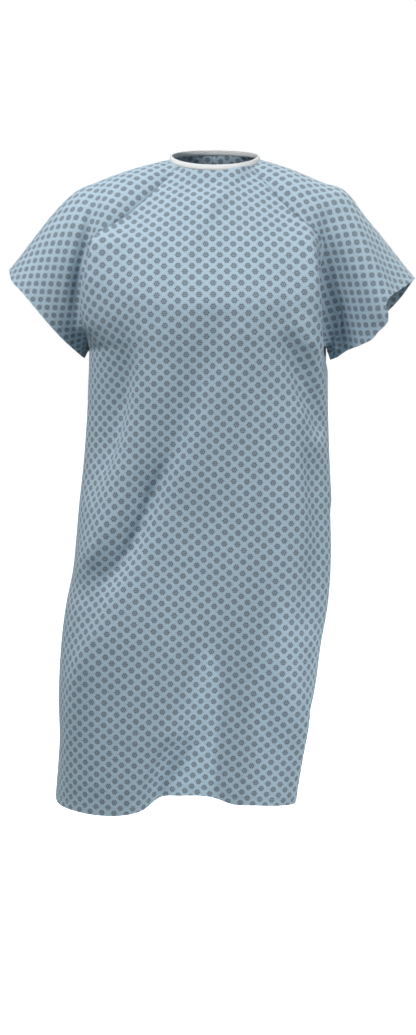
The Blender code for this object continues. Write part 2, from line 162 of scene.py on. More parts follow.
class Nodes:
    """The node tree of a material or a world, with a call for each kind of node used here."""

    def __init__(self, owner):
        owner.use_nodes = True
        self.owner, self.tree = owner, owner.node_tree

    def plug(self, socket, value):
        if isinstance(value, Value):
            self.tree.links.new(value.socket, socket)
        else:
            socket.default_value = (*value, 1) if socket.type == "RGBA" else value

    def add(self, kind, inputs, output=0, **settings):
        """A new node with these inputs and settings. Returns its output as a value."""
        node = self.tree.nodes.new("ShaderNode" + kind)
        for name, setting in settings.items():
            setattr(node, name, setting)
        for name, value in inputs.items():
            self.plug(node.inputs[name], value)
        return Value(self, node.outputs[output])

    def finish(self, name, inputs):
        """Plugs the inputs of the tree's shader. Returns the material or world."""
        for label, value in inputs.items():
            self.plug(self.tree.nodes[name].inputs[label], value)
        return self.owner

    def calc(self, operation, *values):
        return self.add("Math", dict(enumerate(values)), operation=operation)

    def step(self, value, low, high):
        """0 up to low, 1 from high, eased between. Low may be the larger."""
        return self.add("MapRange", {"Value": value, "From Min": low, "From Max": high}, "Result",
                        interpolation_type="SMOOTHSTEP")

    def reads(self, label):
        return self.add("Attribute", {}, "Fac", attribute_name=label)

    def split(self, vector, axis):
        return self.add("SeparateXYZ", {0: vector}, axis)

    def grain(self):
        """Metres across and along the cloth or tape."""
        flat = self.add("UVMap", {}, "UV", uv_map="grain")
        return self.split(flat, "X"), self.split(flat, "Y")

    def noise(self, x, y, scale_x, scale_y, detail=2.0):
        """Noise about 0, stretched by a scale each way."""
        place = self.add("CombineXYZ", {"X": x / scale_x, "Y": y / scale_y})
        return self.add("TexNoise", {"Vector": place, "Scale": 1.0, "Detail": detail}, "Fac",
                        noise_dimensions="2D") - 0.5

    def blend(self, weight, start, end):
        """A colour between two. The Mix node's sockets 6, 7 and 2 are its colours."""
        return self.add("Mix", {0: weight, 6: start, 7: end}, 2, data_type="RGBA")

    def scale(self, color, by):
        return self.add("VectorMath", {0: color, "Scale": by}, operation="SCALE")

    def relief(self, height, distance, **onto):
        inputs = {"Strength": 1.0, "Distance": distance, "Height": height, **onto}
        return self.add("Bump", inputs)


def new_shade(name):
    return Nodes(bpy.data.materials.new(name))


# Camera, floor and light

SKY_TOP, SKY_BOTTOM = 0.33, 0.16
SKY_COLOR = (0.76, 0.92, 1.0)
KEY_COLOR, FILL_COLOR = (1.0, 0.965, 0.93), (1.0, 0.96, 0.92)
FLOOR_COLOR, FLOOR_GLOW, FLOOR_HALF_SIZE = (0.90, 0.91, 0.92), 1.1, 40
# name, place, what it points at, size, power, colour
LIGHTS = [
    ("key", (-1.4, -2.1, 3.2), (-0.02, 0, -0.55), 0.9, 175, KEY_COLOR),
    ("fill", (2.4, -1.3, -1.0), (0.15, 0, -0.8), 1.0, 31, FILL_COLOR),
    ("rim", (1.6, 2.6, 1.8), (0, 0, -0.4), 2.2, 60, KEY_COLOR)]


def make_stage():
    camera = add_object("camera", bpy.data.cameras.new("camera"))
    camera.data.lens = LENS
    camera.data.sensor_width = SENSOR
    camera.location = (CAMERA_X, -CAMERA_DISTANCE, CAMERA_Z)
    pitch = math.atan2(CAMERA_AIM_Z - CAMERA_Z, CAMERA_DISTANCE)
    camera.rotation_euler = (math.pi / 2 + pitch, 0, 0)
    bpy.context.scene.camera = camera
    bpy.context.scene.view_settings.view_transform = "Standard"
    make_sky()
    make_floor()
    for name, place, aim, size, power, color in LIGHTS:
        data = bpy.data.lights.new(name, "AREA")
        data.shape, data.size, data.energy, data.color = "DISK", size, power, color
        light = add_object(name, data)
        light.location = place
        light.rotation_euler = (Vector(aim) - Vector(place)).to_track_quat("-Z", "Y").to_euler()


def make_sky():
    """Soft light, more from above than from below, in front of a plain white background."""
    sky = Nodes(bpy.data.worlds.new("studio"))
    height = sky.split(sky.add("TexCoord", {}, "Generated"), "Z")
    light = sky.add("MapRange", {"Value": height, "From Min": -1.0, "To Min": SKY_BOTTOM,
                                 "To Max": SKY_TOP}, "Result")
    direct = sky.add("LightPath", {}, "Is Camera Ray")
    bpy.context.scene.world = sky.finish("Background", {
        "Color": sky.blend(direct, SKY_COLOR, (1, 1, 1)),
        "Strength": light + direct * (1 - light)})


def make_floor():
    """A floor that the camera sees and that catches shadows, but that lights nothing."""
    mesh = bpy.data.meshes.new("floor")
    corners = [(x * FLOOR_HALF_SIZE, y * FLOOR_HALF_SIZE, FLOOR_Z)
               for x, y in ((-1, -1), (1, -1), (1, 1), (-1, 1))]
    mesh.from_pydata(corners, [], [(0, 1, 2, 3)])
    mesh.materials.append(new_shade("pale_floor").finish("Principled BSDF", {
        "Base Color": FLOOR_COLOR, "Roughness": 0.9, "Emission Color": FLOOR_COLOR,
        "Emission Strength": FLOOR_GLOW}))
    floor = add_object("floor", mesh)
    floor.visible_diffuse = False


# Meshes

def add_object(name, data):
    obj = bpy.data.objects.new(name, data)
    bpy.context.collection.objects.link(obj)
    return obj


def loop_points(mesh):
    """The point at each of the mesh's face corners."""
    corners = np.empty(len(mesh.loops), int)
    mesh.loops.foreach_get("vertex_index", corners)
    return corners


def set_grain(mesh, flat):
    """Each face corner's place in the flattened cloth, in metres."""
    layer = mesh.uv_layers.new(name="grain")
    layer.uv.foreach_set("vector", np.asarray(flat, np.float32).ravel())


def set_marks(mesh, **marks):
    """Numbers at each point, for the material to read."""
    for label, values in marks.items():
        attribute = mesh.attributes.new(label, "FLOAT", "POINT")
        attribute.data.foreach_set("value", np.asarray(values, np.float32))


# The form's curves and surfaces

def smooth(value):
    value = np.clip(value, 0.0, 1.0)
    return value * value * (3 - 2 * value)


def ramp(value, start, end):
    """0 up to start, 1 from end, eased between. End may be the lower."""
    return smooth((value - start) / (end - start))


def crossed(gap, width):
    """0 before a line and 1 past it, eased over a width round it."""
    return smooth(gap / width + 0.5)


def mix(start, end, weight):
    return np.asarray(start) * (1 - weight) + np.asarray(end) * weight


def eased(stations, at):
    """Value at a place, eased between (place, value) stations by a cubic through them."""
    places = np.array([place for place, _ in stations])
    values = np.array([value for _, value in stations])
    slopes = np.gradient(values, places)
    at = np.clip(at, places[0], places[-1])
    k = np.clip(np.searchsorted(places, at, side="right") - 1, 0, len(places) - 2)
    span = places[k + 1] - places[k]
    t = (at - places[k]) / span
    return ((2 * t**3 - 3 * t**2 + 1) * values[k] + (t**3 - 2 * t**2 + t) * span * slopes[k]
            + (3 * t**2 - 2 * t**3) * values[k + 1] + (t**3 - t**2) * span * slopes[k + 1])


def sign(side):
    return 1 if side == "left" else -1


def neck_point(angle):
    """A point of the neckline, angle degrees round from the front towards +X."""
    a = np.radians(angle)
    depth, tilt = (np.where(np.cos(a) > 0, sizes["front"], sizes["back"])
                   for sizes in (NECK_DEPTH, NECK_TILT))
    return np.stack([NECK_HALF_WIDTH * np.sin(a), -depth * np.cos(a),
                     NECK_MID_Z - tilt * np.cos(a)], axis=-1)


def seam_point(side, face, t):
    """Raglan seam: t is 0 at the neckline and 1 where the seam enters the armhole's plane."""
    neck = neck_point(sign(side) * SEAM_ANGLE[face])
    out = -1 if face == "front" else 1
    x = neck[0] + (ARM_X[side] - neck[0]) * t
    y = neck[1] + (out * ARM_HALF_DEPTH - neck[1]) * (1 - (1 - t) ** 3)
    z = neck[2] + (ARM_Z - neck[2]) * t ** SEAM_DROP[face]
    return np.array((x, y, z))


def armhole_point(side, angle):
    """A point of the armhole, angle degrees from its top towards the front."""
    a = math.radians(angle)
    rise = ARM_TOP if math.cos(a) > 0 else ARM_DROP
    return np.array((ARM_X[side], -ARM_HALF_DEPTH * math.sin(a), ARM_Z + rise * math.cos(a)))


def side_point(side, z):
    """Side seam, below the underarm."""
    if z > FLAP_TOP:
        t = (UNDERARM_Z - z) / (UNDERARM_Z - FLAP_TOP)
        return np.array((ARM_X[side] + (SIDE_AT_FLAP[side] - ARM_X[side]) * t * t, 0.0, z))
    t = (FLAP_TOP - z) / (FLAP_TOP - HEM_Z)
    return np.array((SIDE_AT_FLAP[side] + (SIDE_AT_HEM[side] - SIDE_AT_FLAP[side]) * t, 0.0, z))


def down(stations, z):
    """The stations' value at height z. They run down the gown."""
    return eased([(-height, value) for height, value in stations], -z)


def depth_at(face, x, z):
    """How far the front or back stands from the side seams' plane, before it rounds to them."""
    if face == "back":
        return down(BACK_DEPTH, z)
    depth = down(FRONT_DEPTH, z - BUST_CURVE * x**2 * ramp(z, BUST_LOW, BUST_HIGH))
    crease, crest = down(CREASE_X, z), down(CREST_X, z)
    leg = crossed(crease - x, down(CREASE_WIDTH, z)) * ramp(z, LEG_TOP, LEG_FULL)
    hollow = np.clip((crest - x) / np.maximum(crest - crease, 0.005), 0, 1)
    hollow = hollow * down(RECESS, z) * (z < RECESS[0][0])
    return mix(depth - hollow, down(LEG_DEPTH, z), leg)


def body_row(side, face, edge, middle_z, t, raglan):
    """Points of the row that ends at the seam point edge, for t from 0 at the middle to 1.

    raglan runs from 0 at the neckline to 1 at the armhole's plane, and on to 2 at the underarm.
    """
    out = -1 if face == "front" else 1
    across = np.sin(math.pi / 2 * t)
    z = middle_z + (edge[2] - middle_z) * across**2
    if raglan < 2:
        middle = (ARM_X["left"] + ARM_X["right"]) / 2 * smooth(raglan)
    else:
        middle = (side_point("left", edge[2])[0] + side_point("right", edge[2])[0]) / 2
    x = middle + (edge[0] - middle) * across
    roundness = down(ROUNDNESS[side], edge[2])
    power = mix(1.0, 1 / roundness, smooth(raglan / 2))
    rise = (1 - np.minimum(across, 1) ** roundness) ** power
    y = out * depth_at(face, x, z) * rise + edge[1] * (1 - rise) ** EDGE_PULL
    bulge = sign(side) * down(SIDE_BULGE[side], z)
    x = x + bulge * ramp(across, BULGE_FROM, BULGE_FULL) * ramp(rise, 0, BULGE_RISE)
    if face == "front":
        z = z + eased(HEM_LIFT, x) * ramp(z, HEM_LIFT_TOP, HEM_Z)
    facing = 0 if face == "front" else 180
    neck = neck_point(sign(side) * (facing + (SEAM_ANGLE[face] - facing) * t))
    return mix(neck, np.stack([x, y, z], axis=-1), ramp(raglan, 0, NECK_BLEND))


def edge_rows(side, face):
    """(seam point, height at the middle, raglan) of a panel's rows, from neckline to hem."""
    rows = []
    top = neck_point(0 if face == "front" else 180)[2]
    for t in np.linspace(0, 1, RAGLAN_STEPS + 1):
        rows.append((seam_point(side, face, t), mix(top, ARM_Z, t), t))
    start = 90.0 if face == "front" else -90.0
    for share in np.linspace(0, 1, ARMHOLE_STEPS + 1)[1:]:
        rows.append((armhole_point(side, start + start * share), mix(ARM_Z, UNDERARM_Z, share),
                     1 + share))
    heights = list(np.linspace(UNDERARM_Z, HEM_Z + HEM_WIDTH, BODY_STEPS + 1)[1:]) + [HEM_Z]
    return rows + [(side_point(side, z), z, 2.0) for z in heights]


def front_grid():
    half = np.linspace(0, 1, HALF_COLUMNS + 1)
    grid = []
    for right, left in zip(edge_rows("right", "front"), edge_rows("left", "front")):
        grid.append(np.concatenate([
            body_row("right", "front", right[0], right[1], half[::-1], right[2]),
            body_row("left", "front", left[0], left[1], half[1:], left[2])]))
    return np.array(grid)


def vent_half_gap(z):
    share = max((VENT_TOP - z) / (VENT_TOP - HEM_Z), 0.0)
    return BACK_HALF_GAP + VENT_HALF_WIDTH * share**VENT_CURVE


def back_grid(side):
    """A back half, from its edge at the middle to its side seam."""
    t = np.linspace(0, 1, HALF_COLUMNS + 1)
    grid = np.array([body_row(side, "back", edge, middle_z, t, raglan)
                     for edge, middle_z, raglan in edge_rows(side, "back")])
    for row in grid:
        width = abs(row[-1, 0] - row[0, 0])
        share = (1 - np.minimum(np.abs(row[:, 0] - row[0, 0]) / width, 1)) ** 2
        row[:, 0] += sign(side) * vent_half_gap(row[-1, 2]) * share
    return grid


def yoke_grid(side):
    """The shoulder part of a sleeve: rows from the neckline to the armhole, front to back."""
    w = np.linspace(-1, 1, ARCH_STEPS + 1)
    across, rise = np.sin(math.pi / 2 * w), np.cos(math.pi / 2 * w)
    middle = (SEAM_ANGLE["front"] + SEAM_ANGLE["back"]) / 2
    spread = (SEAM_ANGLE["back"] - SEAM_ANGLE["front"]) / 2
    neck = neck_point(sign(side) * (middle + spread * w))
    grid = []
    for t in np.linspace(0, 1, RAGLAN_STEPS + 1):
        front, back = seam_point(side, "front", t), seam_point(side, "back", t)
        top_x = sign(side) * NECK_HALF_WIDTH + (ARM_X[side] - sign(side) * NECK_HALF_WIDTH) * t
        top_z = NECK_MID_Z + (ARM_Z + ARM_TOP - NECK_MID_Z) * t**SHOULDER_SLOPE
        edge = front + (back - front) * ((1 + across) / 2)[:, None]
        arch = edge.copy()
        arch[:, 0] += (top_x - edge[:, 0]) * rise
        arch[:, 2] += (top_z - edge[:, 2]) * rise
        grid.append(mix(neck, arch, ramp(t, 0, NECK_BLEND)))
    return np.array(grid)


# How far a sleeve's front hem hangs below the straight line from its tip (1) to its underarm (0)
SLEEVE_SAG = {
    "left": [(0.0, 0.0), (0.23, 0.015), (0.36, 0.021), (0.42, 0.019), (0.50, 0.019), (0.55, 0.015),
             (0.585, 0.004), (0.62, -0.009), (0.68, -0.011), (0.80, -0.007), (0.90, -0.003),
             (1.0, 0.0)],
    "right": [(0.0, 0.0), (0.25, 0.005), (0.5, 0.006), (0.75, 0.006), (0.92, 0.007), (1.0, 0.0)]}
BACK_SAG = [(0.0, 0.0), (0.3, 0.009), (0.6, 0.013), (0.85, 0.009), (1.0, 0.0)]


def opening_point(side, angle):
    """A point of the sleeve's lower edge, angle degrees from its tip towards the front."""
    a = math.radians(angle)
    tip, under = np.array(SLEEVE_TIP[side]), np.array(SLEEVE_UNDER[side])
    x, z = (tip + under) / 2 + (tip - under) / 2 * math.cos(a)
    sag = SLEEVE_SAG[side] if math.sin(a) > 0 else BACK_SAG
    x, z = (x, z) + np.array((sign(side), -1.0)) / math.sqrt(2) * eased(sag, (1 + math.cos(a)) / 2)
    return np.array((x, -SLEEVE_HALF_DEPTH * math.sin(a), z))


def sleeve_point(side, angle, t):
    """Outer sleeve: t is 0 at the armhole and 1 at the sleeve's lower edge."""
    start, end = armhole_point(side, angle), opening_point(side, angle)
    reach = np.linalg.norm(end - start)
    top = (1 + math.cos(math.radians(angle))) / 2
    leave, arrive = (np.array((sign(side) * out, 0.0, up)) for out, up in (
        mix(LEAVE_UNDER, LEAVE_TOP, top), mix(ARRIVE_UNDER, ARRIVE_TOP, top)))
    one = start + leave * reach * LEAVE_SHARE
    two = end - arrive * reach * ARRIVE_SHARE
    return ((1 - t) ** 3 * start + 3 * (1 - t) ** 2 * t * one + 3 * (1 - t) * t * t * two
            + t**3 * end)


def sleeve_grid(side):
    """Rings round a sleeve from the armhole outwards, each from the underarm round the front."""
    angles = np.concatenate([np.linspace(180, 90, ARMHOLE_STEPS + 1)[:-1],
                             np.linspace(90, -90, ARCH_STEPS + 1),
                             np.linspace(-90, -180, ARMHOLE_STEPS + 1)[1:]])
    grid = []
    for k in range(SLEEVE_STEPS + 2):
        ring = []
        for angle in angles:
            reach = np.linalg.norm(opening_point(side, angle) - armhole_point(side, angle))
            hem = 1 - HEM_WIDTH / reach
            t = 1.0 if k > SLEEVE_STEPS else hem * k / SLEEVE_STEPS
            ring.append(sleeve_point(side, angle, t))
        grid.append(ring)
    return np.array(grid)


# The welded net

class Net:
    """Pattern pieces as grids of points, welded where they share a seam."""

    def __init__(self):
        self.points, self.faces, self.tags, self.cuts = [], [], [], []

    def add(self, grid, tag, hem_row=True, flip=False, cut=False):
        rows, columns = grid.shape[:2]
        base = len(self.points)
        if cut:
            self.cuts += [(base + i * columns, base + (i + 1) * columns) for i in range(rows - 1)]
        self.points.extend(grid.reshape(-1, 3).tolist())
        for i in range(rows - 1):
            name = tag + "_hem" if hem_row and i == rows - 2 else tag
            for j in range(columns - 1):
                a = base + i * columns + j
                face = (a, a + 1, a + columns + 1, a + columns)
                self.faces.append(face[::-1] if flip else face)
                self.tags.append(name)

    def weld(self, distance=1e-5):
        points = np.array(self.points)
        keys = np.round(points / distance).astype(np.int64)
        _, first, inverse = np.unique(keys, axis=0, return_index=True, return_inverse=True)
        inverse = inverse.ravel()
        self.points = points[first]
        self.faces = np.array([[inverse[v] for v in face] for face in self.faces])
        self.tags = np.array(self.tags)
        self.cuts = {tuple(sorted((inverse[a], inverse[b]))) for a, b in self.cuts}
        pairs = np.concatenate([self.faces[:, [k, (k + 1) % 4]] for k in range(4)])
        pairs = np.sort(pairs, axis=1)
        pairs, counts = np.unique(pairs[pairs[:, 0] != pairs[:, 1]], axis=0, return_counts=True)
        self.edges = pairs
        self.rim = np.zeros(len(self.points), bool)
        self.rim[pairs[counts == 1].ravel()] = True

    def normals(self):
        corners = self.points[self.faces]
        face_normals = np.cross(corners[:, 2] - corners[:, 0], corners[:, 3] - corners[:, 1])
        normals = np.zeros_like(self.points)
        for k in range(4):
            np.add.at(normals, self.faces[:, k], face_normals)
        return normals / np.maximum(np.linalg.norm(normals, axis=1, keepdims=True), 1e-12)

    def relax(self, values, weight, rounds):
        """Evens out values over the net, by up to weight at each point."""
        a, b = self.edges.T
        count = np.bincount(a, minlength=len(values)) + np.bincount(b, minlength=len(values))
        for _ in range(rounds):
            total = np.zeros_like(values)
            np.add.at(total, a, values[b])
            np.add.at(total, b, values[a])
            values = values + (total / count[:, None] - values) * weight[:, None]
        return values

    def seam_points(self):
        """Points where two pieces meet, hems aside."""
        plain = plain_tags(self.tags)
        count = np.zeros(len(self.points), int)
        for tag in np.unique(plain):
            count[np.unique(self.faces[plain == tag])] += 1
        return count > 1

    def distances(self, points):
        """Distance from each point of the net to the nearest of these, and that one's place."""
        tree = KDTree(len(points))
        for k, point in enumerate(points):
            tree.insert(point, k)
        tree.balance()
        found = [tree.find(point) for point in self.points]
        return np.array([f[2] for f in found]), np.array([f[1] for f in found])


def plain_tags(tags):
    return np.char.replace(tags.astype(str), "_hem", "")


def build_net():
    net = Net()
    net.add(front_grid(), "front", flip=True)
    for side in ("left", "right"):
        net.add(back_grid(side), f"{side}_back", flip=side == "right")
        net.add(yoke_grid(side), f"{side}_sleeve", hem_row=False, flip=side == "left")
        net.add(sleeve_grid(side), f"{side}_sleeve", flip=side == "left", cut=True)
    net.weld()
    soften(net)
    press_folds(net)
    return net


SOFTEN_ROUNDS, SOFTEN_WEIGHT, SWELL_BACK = 14, 0.5, 1.04
SOFTEN_LOW, SOFTEN_FULL, SOFTEN_SEAM = 0.10, 0.02, 0.06     # below the underarms


def soften(net):
    """Rounds the form where its surfaces meet at the raglan seams, armholes and underarms.

    Each round evens the net out and then swells it back, so that it doesn't shrink.
    """
    z = net.points[:, 2]
    held = net.rim | (on_side_seam(net.points) & (z < UNDERARM_Z - SOFTEN_SEAM))
    weight = SOFTEN_WEIGHT * ~held * ramp(z, UNDERARM_Z - SOFTEN_LOW, UNDERARM_Z - SOFTEN_FULL)
    for _ in range(SOFTEN_ROUNDS):
        net.points = net.relax(net.points, weight, 1)
        net.points = net.relax(net.points, -SWELL_BACK * weight, 1)


def on_side_seam(points):
    x, y, z = points.T
    return (np.abs(y) < 1e-4) & (z < UNDERARM_Z + 1e-4) & (np.abs(x) > 0.1)


# Folds

# Each fold runs along a line of (x, z, height), with heights below zero for a valley. After the
# line come its widths to the left and right as seen from in front, and how rounded its crest is,
# all in millimetres. The front's lines are as the camera sees them on the side seams' plane.
HIP_LINE = [(0, -302), (-16, -359), (-41, -416), (-82, -519), (-99, -563), (-114, -600),
            (-131, -645), (-149, -682), (-163, -707), (-188, -741), (-215, -767)]


def at_heights(line, *heights):
    return [(x, z, height) for (x, z), height in zip(line, heights)]


FRONT_FOLDS = [
    # the long valley from between the breasts down to the hip, its wide right side, and the
    # crest beside it
    (at_heights(HIP_LINE, -2, -3, -4, -6, -9, -10, -10, -10, -8, -5, -2), 27, 17, 3),
    (at_heights(HIP_LINE, -1, -1, -1, -2, -3, -5, -5, -5, -5, -3, -1), 30, 90, 6),
    ([(27, -320, 2), (-2, -423, 4), (-41, -524, 5), (-82, -604, 5), (-121, -684, 6),
      (-156, -749, 7), (-195, -828, 8), (-229, -888, 8), (-250, -968, 5),
      (-261, -1101, 2)], 16, 55, 4),
    # the valley beside the belly, below the armpit, and the crest that runs on past its end
    ([(-165, -323, -3), (-163, -378, -10), (-176, -453, -14), (-197, -524, -11),
      (-215, -572, -5)], 34, 15, 4),
    ([(-112, -329, 2), (-115, -400, 5), (-130, -471, 6), (-146, -533, 7), (-162, -586, 9),
      (-183, -654, 12), (-202, -696, 11), (-229, -721, 5)], 28, 22, 5),
    # the wearer's left side: a valley and ridge from the bust, and another valley over the hip
    ([(126, -303, -2), (137, -334, -7), (153, -378, -10), (172, -423, -10),
      (190, -465, -8)], 17, 14, 4),
    ([(155, -302, 3), (165, -337, 6), (181, -382, 6), (197, -426, 4)], 10, 12, 3),
    ([(162, -497, -3), (176, -542, -8), (185, -595, -9), (190, -657, -7), (179, -746, -6),
      (172, -817, -4)], 18, 20, 5),
    # a long soft ridge down to the hem
    ([(133, -480, 2), (128, -604, 4), (123, -712, 5), (117, -822, 6), (126, -906, 8),
      (140, -977, 9), (158, -1048, 9), (163, -1128, 6)], 36, 26, 8),
    # below the neckline
    ([(-70, -40, -2), (-30, -47, -4), (12, -45, -4), (50, -34, -3)], 13, 13, 3),
    ([(44, -25, 3), (12, -62, 4), (-18, -110, 4), (-36, -151, 3), (-60, -180, 1)], 14, 10, 3),
    # beside the armholes, where the sleeves are drawn in behind the breast
    ([(-212, -80, -3), (-222, -122, -7), (-233, -180, -9), (-242, -232, -10), (-240, -272, -8),
      (-230, -300, -4)], 11, 8, 2),
    ([(-190, -105, 2), (-212, -160, 5), (-220, -220, 7), (-224, -290, 8)], 10, 24, 5),
    ([(203, -120, -11), (207, -186, -21), (209, -240, -25), (212, -293, -23),
      (217, -337, -15)], 16, 38, 3),
    ([(155, -115, 3), (172, -180, 7), (178, -250, 9), (180, -320, 7)], 24, 10, 5),
    # the fold down the wearer's left sleeve
    ([(222, -71, 4), (243, -115, 7), (268, -174, 8), (288, -222, 9), (305, -263, 9)], 26, 18, 3),
    ([(262, -100, -2), (305, -165, -5), (330, -215, -5)], 20, 20, 8),
]
FOLD_STRENGTH, FOLD_FALL = 1.6, 1.6
FOLD_FADE, LINE_STEPS = 0.05, 12        # a fold dies away over this length at its ends
# How far the cloth turns, from facing the side (0) to facing the front (-1) or the back (1), while
# its folds come to their full height: on the sleeves and chest, on the skirt, and on the back
CHEST_TURN, SKIRT_TURN, BACK_TURN = (0.35, -0.15), (-0.12, -0.57), (0.10, 0.60)
CHEST_TO_SKIRT = (-0.34, -0.40)
NECK_RIM_Z = -0.03          # the net's rim above this height is the neckline


def as_seen(points):
    """Where the camera's lines of sight to points cross the plane of the side seams, as (x, z)."""
    x, y, z = points.T
    near = CAMERA_DISTANCE / (CAMERA_DISTANCE + y)
    return CAMERA_X + (x - CAMERA_X) * near, CAMERA_Z + (z - CAMERA_Z) * near


def along_line(line, x, z):
    """For each (x, z): signed distance to a line of (x, z, height), positive to its right as seen
    from in front, and the height, dying away past the line's ends."""
    share = np.linspace(0, 1, len(line))
    fine = np.linspace(0, 1, LINE_STEPS * (len(line) - 1) + 1)
    points = np.stack([eased(list(zip(share, line[:, k])), fine) for k in range(3)], axis=-1)
    best = np.full(len(x), np.inf)
    signed, height = np.zeros(len(x)), np.zeros(len(x))
    last = len(points) - 2
    for k in range(last + 1):
        way = points[k + 1, :2] - points[k, :2]
        size = np.linalg.norm(way)
        off_x, off_z = x - points[k, 0], z - points[k, 1]
        t = (off_x * way[0] + off_z * way[1]) / size**2
        inside = np.clip(t, 0, 1)
        gap = np.hypot(off_x - way[0] * inside, off_z - way[1] * inside)
        past = size * np.maximum(-t if k == 0 else 0, t - 1 if k == last else 0)
        closer = gap < best
        best = np.where(closer, gap, best)
        signed = np.where(closer, (off_z * way[0] - off_x * way[1]) / size, signed)
        value = mix(points[k, 2], points[k + 1, 2], inside) * smooth(1 - past / FOLD_FADE)
        height = np.where(closer, value, height)
    return signed, height


def fold_height(fold, x, z):
    """How far out of the cloth a fold stands at each (x, z)."""
    line, *sizes = fold
    wide_left, wide_right, crest = np.array(sizes) / 1000
    signed, height = along_line(np.array(line) / 1000, x, z)
    wide = np.where(signed > 0, wide_right, wide_left)
    gap = np.sqrt(signed**2 + crest**2) - crest
    return height * np.exp(-(gap / wide) ** FOLD_FALL)


# The back isn't in the photograph. These are the folds that its ties draw.
BACK_FOLDS = [
    ([(-45, -440, 2), (-80, -520, 6), (-110, -660, 9), (-140, -850, 11),
      (-160, -1080, 9)], 34, 30, 6),
    ([(20, -440, 2), (55, -530, 6), (75, -680, 8), (85, -860, 10), (90, -1080, 8)], 28, 34, 6),
    ([(-165, -620, 3), (-195, -760, 7), (-215, -930, 8), (-230, -1100, 6)], 22, 22, 5),
    ([(-75, -415, -2), (-120, -405, -6), (-180, -375, -6)], 16, 20, 5),
    ([(55, -418, -2), (100, -410, -6), (160, -380, -6)], 16, 20, 5),
    ([(-70, -440, -2), (-120, -462, -5), (-185, -500, -4)], 16, 20, 5),
    ([(50, -440, -2), (100, -460, -5), (165, -500, -4)], 16, 20, 5),
    ([(-30, -30, 1), (-55, -120, 4), (-70, -240, 3)], 18, 22, 5),
    ([(28, -30, 1), (48, -110, 4), (60, -230, 3)], 22, 18, 5),
]


def press_folds(net):
    """Moves the net's points outwards at ridges and inwards at valleys."""
    normals = net.relax(net.normals(), np.full(len(net.points), 0.5), 8)
    normals /= np.linalg.norm(normals, axis=1, keepdims=True)
    x, y, z = net.points.T
    turned = normals[:, 1]
    front = mix(ramp(turned, *CHEST_TURN), ramp(turned, *SKIRT_TURN), ramp(z, *CHEST_TO_SKIRT))
    front *= FOLD_STRENGTH * (y < 0.01)
    back = ramp(turned, *BACK_TURN) * (y > 0)
    seen = as_seen(net.points)
    height = (front * sum(fold_height(fold, *seen) for fold in FRONT_FOLDS)
              + back * sum(fold_height(fold, x, z) for fold in BACK_FOLDS))
    held = on_side_seam(net.points) | (net.rim & (z > NECK_RIM_Z))
    net.points = net.points + normals * np.where(held, 0.0, height)[:, None]


# The cloth's grain and the marks that its material reads

def mesh_of(net, chosen, name):
    """The chosen faces as a mesh, with the net's number of each of its points."""
    picked = net.faces[chosen]
    used, places = np.unique(picked, return_inverse=True)
    places = places.reshape(picked.shape)
    mesh = bpy.data.meshes.new(name)
    faces = [tuple(dict.fromkeys(face.tolist())) for face in places]
    mesh.from_pydata(net.points[used].tolist(), [], faces)
    mesh.update()
    return mesh, used


# Two (x, y, z) places on each piece, and the direction between them in the print, in degrees
GRAIN = {
    "front": ((0.0, -0.17, -0.25), (-0.02, -0.17, -0.75), -90.0),
    "left_back": ((0.02, 0.13, -0.25), (0.0, 0.15, -0.75), -90.0),
    "left_sleeve": ((0.24, -0.09, -0.12), (0.25, -0.09, -0.28), -45.0),
    "right_back": ((-0.04, 0.13, -0.25), (-0.06, 0.15, -0.75), -90.0),
    "right_sleeve": ((-0.27, -0.09, -0.12), (-0.28, -0.09, -0.28), -135.0)}


def flat_area(corners):
    """The area of a flat polygon."""
    x, y = corners.T
    return abs(np.sum(x * np.roll(y, -1) - np.roll(x, -1) * y)) / 2


def lay_grain(net):
    """Flattens each piece, so that the print and weave follow its cloth: metres at each corner."""
    plain = plain_tags(net.tags)
    net.grain = np.zeros((len(net.faces), 4, 2))
    net.flat = {}
    for tag, (start, end, direction) in GRAIN.items():
        chosen = plain == tag
        mesh, used = mesh_of(net, chosen, "flattened")
        for edge in mesh.edges:
            edge.use_seam = tuple(sorted(used[list(edge.vertices)])) in net.cuts
        obj = add_object("flattened", mesh)
        mesh.uv_layers.new(name="grain")
        bpy.context.view_layer.objects.active = obj
        bpy.ops.object.mode_set(mode="EDIT")
        bpy.ops.mesh.select_all(action="SELECT")
        bpy.ops.uv.unwrap(method="ANGLE_BASED", margin=0, correct_aspect=False)
        bpy.ops.object.mode_set(mode="OBJECT")
        flat = np.empty(len(mesh.loops) * 2)
        mesh.uv_layers["grain"].uv.foreach_get("vector", flat)
        flat = flat.reshape(-1, 2)
        area = sum(polygon.area for polygon in mesh.polygons)
        flat *= math.sqrt(area / sum(flat_area(flat[list(polygon.loop_indices)])
                                     for polygon in mesh.polygons))
        points = net.points[used][loop_points(mesh)]
        first, last = (flat[np.argmin(np.linalg.norm(points - place, axis=1))]
                       for place in (start, end))
        turn = math.radians(direction) - math.atan2(*(last - first)[::-1])
        c, s = math.cos(turn), math.sin(turn)
        flat = (flat - first) @ np.array(((c, s), (-s, c)))
        place = 0
        for face, polygon in zip(np.flatnonzero(chosen), mesh.polygons):
            size = polygon.loop_total
            net.grain[face, :size] = flat[place:place + size]
            place += size
        net.flat[tag] = (np.ptp(flat[:, 0]), np.ptp(flat[:, 1]), area)
        bpy.data.objects.remove(obj, do_unlink=True)
        bpy.data.meshes.remove(mesh)
